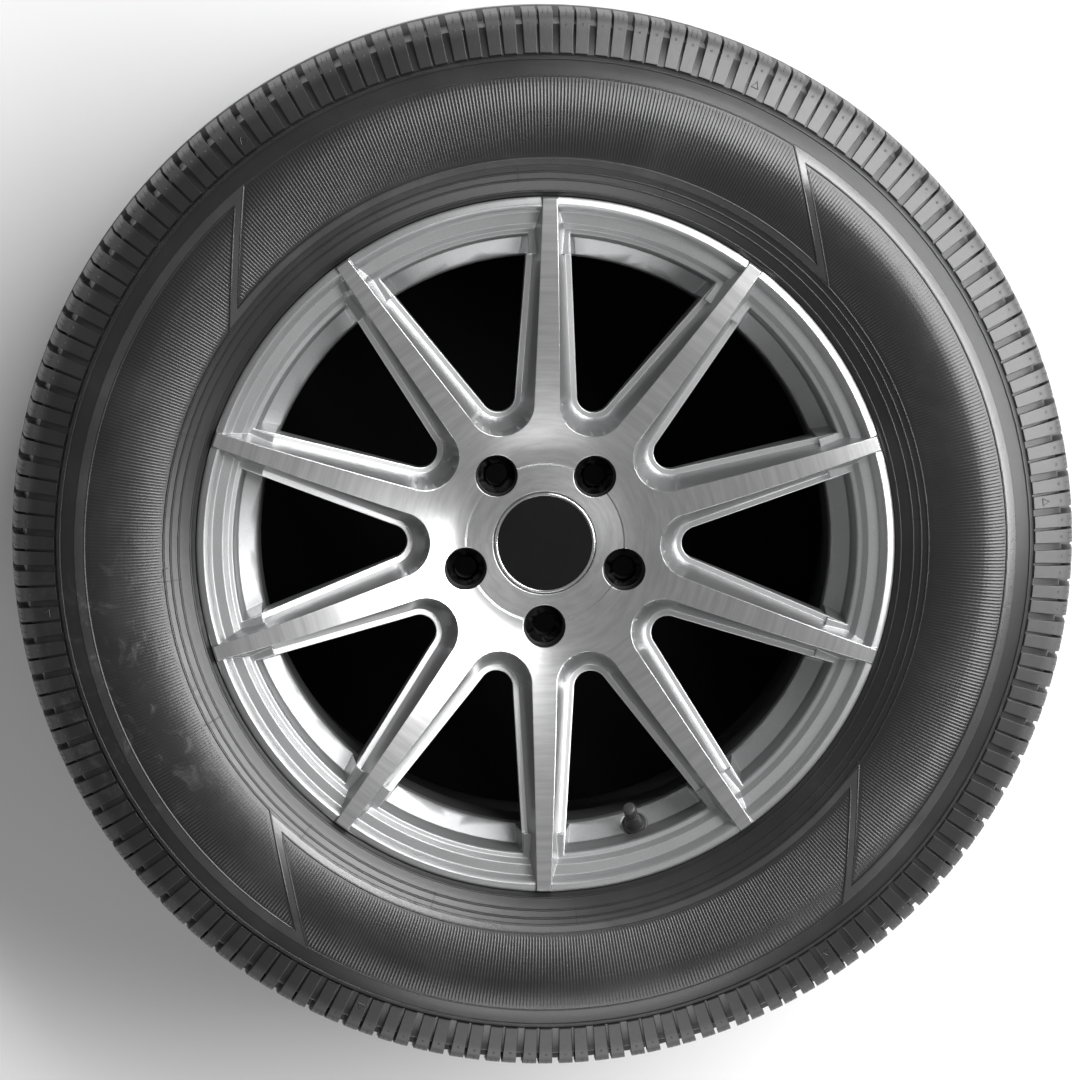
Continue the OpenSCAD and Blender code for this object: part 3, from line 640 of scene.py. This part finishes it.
def slant_radius(angle, extra):
    """Radius at which a ray from the axle meets that edge, or nothing where it passes it by."""
    p, along = slant_line(extra)
    ray = Vector(at(1.0, angle))
    below = ray.x * along.y - ray.y * along.x
    return (p.x * along.y - p.y * along.x) / below if abs(below) > 1e-6 else None


def slant_angle(r, extra):
    """Angle at which that edge crosses a radius."""
    p, along = slant_line(extra)
    b = p.dot(along)
    t = -b + math.sqrt(b * b - p.length_squared + r * r)
    q = p + along * t
    return math.atan2(q.y, q.x)


def rib(piece, a, low, high, half):
    """One radial rib at the angle a, from low to high, that falls away at both ends."""
    steps = max(2, round((high - low) / RIB_STEP))
    rows = []
    for k in range(steps + 1):
        r = low + (high - low) * k / steps
        crest = RIB_HEIGHT * (RIB_END if k in (0, steps) else 1.0)
        rows.append([(r * math.cos(a + da), r * math.sin(a + da), sidewall(r) + dz)
                     for da, dz in ((-half, SUNK), (0.0, crest), (half, SUNK))])
    piece.strip(rows)


def serration():
    """Fine radial ribs over the four panels, clear of the band that winds between them."""
    piece = Piece("serration", RUBBER)
    half = RIB_FILL * 2 * math.pi / RIBS
    for i in range(RIBS):
        turn = 2 * math.pi * i / RIBS
        off = abs((turn - PANEL_TURN + math.pi / 2) % math.pi - math.pi / 2)
        spans = []
        if off < IN_ANGLE + IN_REACH:
            top = BAND_OUT - TOP_GAP
            edge = slant_radius(off, -SLANT_GAP)
            if off > OUT_ANGLE - EDGE_REACH and edge:
                top = min(top, edge)
            spans.append((BAND_LOW + ARC_GAP, top))
        if off > OUT_ANGLE - OUT_REACH:
            low = BAND_IN + FOOT_GAP
            edge = slant_radius(off, SLANT + SLANT_GAP)
            if off < IN_ANGLE + EDGE_REACH and edge:
                low = max(low, edge)
            spans.append((low, BAND_MID - ARC_GAP))
        for low, high in spans:
            if high - low > SHORTEST_RIB:
                rib(piece, turn, low, high, half)
    piece.build()


def band_edges():
    """Raised lines along both edges of the band."""
    piece = Piece("band_edges", RUBBER)
    for half_turn in (0.0, math.pi):
        turn = PANEL_TURN + half_turn
        inner = [at(BAND_LOW, IN_ANGLE * (1 - 2 * i / ARC_STEPS)) for i in range(ARC_STEPS + 1)]
        start = at(OUT_LINE, slant_angle(OUT_LINE, 0.0))
        wide = [start] + [tuple(Vector(start).lerp(Vector(inner[0]), i / SLANT_STEPS))
                          for i in range(1, SLANT_STEPS)]
        path = wide + inner + [(x, -y) for x, y in wide[::-1]]
        turned = [at(math.hypot(x, y), math.atan2(y, x) + turn) for x, y in path]
        # Run backwards, each outline has the band on its left.
        ridge(piece, turned[::-1], EDGE_SECTION, sidewall)
        top, foot = slant_angle(BAND_MID, SLANT), slant_angle(IN_LINE, SLANT)
        span = math.pi - 2 * top
        outer = [at(BAND_MID, top + span * i / ARC_STEPS) for i in range(ARC_STEPS + 1)]
        low = Vector(at(IN_LINE, foot))
        rise = [tuple(low.lerp(Vector(outer[0]), i / SLANT_STEPS)) for i in range(SLANT_STEPS)]
        fall = [at(math.hypot(x, y), math.pi - math.atan2(y, x)) for x, y in rise[::-1]]
        path = rise + outer + fall
        turned = [at(math.hypot(x, y), math.atan2(y, x) + turn) for x, y in path]
        ridge(piece, turned[::-1], EDGE_SECTION, sidewall)
    piece.build()


def mould_lines():
    """The thin joints of the mould across the fine rings, as near-black strips of painted shade for their gaps."""
    piece = Piece("mould_lines", GAP_SHADE)
    for i in range(JOINTS):
        a = math.radians(JOINT_TURN + 360 / JOINTS * i)
        path = [at(JOINT_START + JOINT_STEP * k, a) for k in range(JOINT_POINTS)]
        ridge(piece, path, JOINT_SECTION, over_rings)
    path = []
    for (r0, a0), (r1, a1) in zip(STEPPED_JOINT, STEPPED_JOINT[1:]):
        path += [at(r0 + (r1 - r0) * k / STEPPED_POINTS, math.radians(a0 + (a1 - a0) * k / STEPPED_POINTS))
                 for k in range(STEPPED_POINTS)]
    ridge(piece, path, JOINT_SECTION, over_rings)
    piece.build()


# The tread's shoulder, in mm, with its outline cut into short steps.
CROWN_R, CROWN_CURVE = 368.65, 800.0
EDGE_Z, CORNER_Z = 89.0, 96.0
CORNER_SHARE = 0.2
FACE_STEPS, CORNER_STEPS = 6, 8
CROWN_STEPS, CROWN_STEP = 9, 3
GROOVE_R = 357


def crown(z):
    return CROWN_R - z * z / CROWN_CURVE


EDGE = (crown(EDGE_Z), EDGE_Z)
CORNER = (crown(CORNER_Z), CORNER_Z)
FACE_TOP = tuple(c + (f - c) * CORNER_SHARE for c, f in zip(CORNER, (FOOT, sidewall(FOOT))))


def shoulder_profile():
    """The block's outline from its foot over the corner and on to the crown, with the length along it."""
    foot_z = sidewall(FOOT)
    points = [(FOOT + (FACE_TOP[0] - FOOT) * i / FACE_STEPS, foot_z + (FACE_TOP[1] - foot_z) * i / FACE_STEPS)
              for i in range(FACE_STEPS + 1)]
    for i in range(1, CORNER_STEPS + 1):
        t = 1 - i / CORNER_STEPS
        points.append(tuple((1 - t) ** 2 * e + 2 * t * (1 - t) * c + t * t * f
                            for e, c, f in zip(EDGE, CORNER, FACE_TOP)))
    points += [(crown(EDGE_Z - CROWN_STEP * i), EDGE_Z - CROWN_STEP * i) for i in range(1, CROWN_STEPS + 1)]
    lengths = [0.0]
    for p, q in zip(points, points[1:]):
        lengths.append(lengths[-1] + math.dist(p, q))
    return points, lengths


PROFILE, LENGTHS = shoulder_profile()


def on_block(u, a, side_shift, lift):
    """A point on the shoulder, u mm from the foot along the outline and side_shift mm round from the angle a."""
    i = 0
    while i < len(LENGTHS) - 2 and LENGTHS[i + 1] < u:
        i += 1
    (r0, z0), (r1, z1) = PROFILE[i], PROFILE[i + 1]
    t = (u - LENGTHS[i]) / (LENGTHS[i + 1] - LENGTHS[i])
    d = math.hypot(r1 - r0, z1 - z0)
    r, z = r0 + (r1 - r0) * t, z0 + (z1 - z0) * t
    r, z = r - lift * (z1 - z0) / d, z + lift * (r1 - r0) / d
    turn = a + side_shift / r
    return (r * math.cos(turn), r * math.sin(turn), z)


def block_centres():
    """Middle angles of the blocks, each between a wide and a narrow groove."""
    pitch = 2 * math.pi / PITCHES
    shift = (WIDE - NARROW) / 4 / GROOVE_R
    return [(i * pitch + pitch / 4 + shift, 0) for i in range(PITCHES)] + \
        [(i * pitch + 3 * pitch / 4 - shift, 1) for i in range(PITCHES)]


# The slits: their places across each kind of block, where they start and end, their sway, width and lift.
SLIT_PLACES = ((-1.6, 1.9), (0.3,))
SLIT_LOW, SLIT_STAGGER, SLIT_HIGH, SLIT_STEPS = 25.6, 1.1, 44.0, 9
SLIT_SWAY, SLIT_WAVE, SLIT_HALF, SLIT_LIFT = 0.35, 1.4, 0.22, 0.05
# The vent marks: their height up the block, their places across it, and the (radius, lift) of their ring.
VENT_U, VENT_STAGGER, VENT_PLACES, VENT_SIDES = 20.2, 0.7, (-0.2, 0.4), 10
VENT_RING = ((0.95, -0.02), (0.62, 0.22), (0.30, 0.02))
# The wear triangles: their number and first angle, their corners, their middle,
# and their section as (share of the way to the middle, share of the width left, lift).
TRIANGLES, TRIANGLE_TURN = 6, 6.5
TRIANGLE = ((12.5, 0.0), (6.5, -2.9), (6.5, 2.9))
TRIANGLE_MIDDLE = 8.5
TRIANGLE_SECTION = ((0.0, 1.0, -0.03), (0.14, 0.86, 0.4), (0.36, 0.64, 0.02))


def sipes():
    """Fine slits over the corner of each block, as near-black strips of painted shade, and the small vent mark under
    them.
    """
    slits, vents = Piece("sipes", GAP_SHADE), Piece("vent_marks", RUBBER)
    for n, (a, kind) in enumerate(block_centres()):
        for k, place in enumerate(SLIT_PLACES[kind]):
            low = SLIT_LOW + SLIT_STAGGER * ((n * 5 + k * 3) % 3)
            rows = []
            for i in range(SLIT_STEPS + 1):
                u = low + (SLIT_HIGH - low) * i / SLIT_STEPS
                sway = SLIT_SWAY * math.sin(i * SLIT_WAVE)
                rows.append([on_block(u, a, place + sway + w, SLIT_LIFT) for w in (-SLIT_HALF, SLIT_HALF)])
            slits.strip(rows)
        centre = (VENT_U + VENT_STAGGER * (n % 2), VENT_PLACES[kind])
        for circles in zip(VENT_RING, VENT_RING[1:]):
            rows = []
            for i in range(VENT_SIDES + 1):
                b = 2 * math.pi * i / VENT_SIDES
                rows.append([on_block(centre[0] + r * math.cos(b), a, centre[1] + r * math.sin(b), h)
                             for r, h in circles])
            vents.strip(rows)
    slits.build()
    vents.build()


def wear_marks():
    """Six plain triangles that point at the wear bars."""
    piece = Piece("wear_marks", RUBBER)
    centres = [a for a, kind in block_centres() if kind == 0]
    for i in range(TRIANGLES):
        goal = math.radians(TRIANGLE_TURN + 360 / TRIANGLES * i)
        a = min(centres, key=lambda c: abs((c - goal + math.pi) % (2 * math.pi) - math.pi))
        piece.strip([[on_block(u + (TRIANGLE_MIDDLE - u) * inwards, a, v * width, lift)
                      for inwards, width, lift in TRIANGLE_SECTION] for u, v in TRIANGLE + TRIANGLE[:1]])
    piece.build()


serration()
band_edges()
mould_lines()
sipes()
wear_marks()


# The stage, in metres.
FLOOR_SIZE, FLOOR_Z = 8.0, -0.1202
# Where the painted shadow under the wheel fades out to the pale floor, in metres.
SHADOW_FROM, SHADOW_TO = 0.236, 0.240
AIM = (0, 0, 0.03)
WORLD_STRENGTH = 0.24
# The camera: its focal length in widths of the picture, how far it stands off the axle, and the point it looks at.
SENSOR = 36
FOCAL = 2968 / 1080
LEFT_ANGLE, UP_ANGLE = 2.0, 6.0
AIM_RIGHT, AIM_UP = -0.0012, -0.0047
DISTANCE = 2.1
NEAR, FAR = 0.05, 50


def floor():
    """The pale floor, with a near-black disc of painted shadow under the wheel, inside its barrel."""
    bpy.ops.mesh.primitive_grid_add(x_subdivisions=8, y_subdivisions=8, size=FLOOR_SIZE, location=(0, 0, FLOOR_Z))
    obj = bpy.context.object
    obj.name = "floor"
    s = Shader("pale_floor")
    soft = s.noise(s.object, scale=3.0, detail=2.0)
    r, _, _ = s.polar()
    pale = s.mix(soft, (0.72, 0.72, 0.72), (0.76, 0.76, 0.76))
    # Under the wheel the floor turns near black: a painted shadow inside the barrel.
    s.set(Base_Color=s.mix(s.ramp(r, SHADOW_FROM, SHADOW_TO), (0.004, 0.004, 0.004), pale), Roughness=0.8)
    s.bsdf.inputs["Specular IOR Level"].default_value = 0.1
    obj.data.materials.append(s.mat)


def softbox(name, azimuth, elevation, distance, width, height, power):
    """A rectangular light that faces the wheel."""
    light = bpy.data.lights.new(name, "AREA")
    light.shape = "RECTANGLE"
    light.size, light.size_y = width, height
    light.energy = power
    obj = bpy.data.objects.new(name, light)
    a, e = math.radians(azimuth), math.radians(elevation)
    place = Vector((math.cos(a) * math.cos(e), math.sin(a) * math.cos(e), math.sin(e))) * distance
    obj.location = place
    obj.rotation_euler = (place - Vector(AIM)).to_track_quat("Z", "Y").to_euler()
    bpy.context.scene.collection.objects.link(obj)


def world():
    """A faint even light from all round."""
    w = bpy.data.worlds.new("studio")
    w.use_nodes = True
    w.node_tree.nodes["Background"].inputs[0].default_value = (1.0, 1.0, 1.0, 1)
    w.node_tree.nodes["Background"].inputs[1].default_value = WORLD_STRENGTH
    bpy.context.scene.world = w


def camera():
    """Looks down the axle, a little from the top left, as the photograph does."""
    data = bpy.data.cameras.new("camera")
    data.sensor_width = SENSOR
    data.lens = SENSOR * FOCAL
    obj = bpy.data.objects.new("camera", data)
    left, above = -math.sin(math.radians(LEFT_ANGLE)), math.sin(math.radians(UP_ANGLE))
    back = Vector((left, above, math.sqrt(1 - left * left - above * above)))
    right = Vector((0, 1, 0)).cross(back).normalized()
    up = back.cross(right)
    turn = Matrix((right, up, back)).transposed().to_4x4()
    target = right * AIM_RIGHT + up * AIM_UP
    obj.matrix_world = Matrix.Translation(target + back * DISTANCE) @ turn
    data.clip_start, data.clip_end = NEAR, FAR
    bpy.context.scene.collection.objects.link(obj)
    bpy.context.scene.camera = obj


floor()
softbox("key", azimuth=32, elevation=48, distance=3.2, width=3.9, height=1.2, power=190)
softbox("rake", azimuth=24, elevation=22, distance=3.2, width=3.2, height=0.6, power=50)
softbox("low", azimuth=274, elevation=26, distance=2.0, width=1.2, height=0.35, power=10)
world()
camera()
bpy.context.scene.view_settings.view_transform = "Standard"
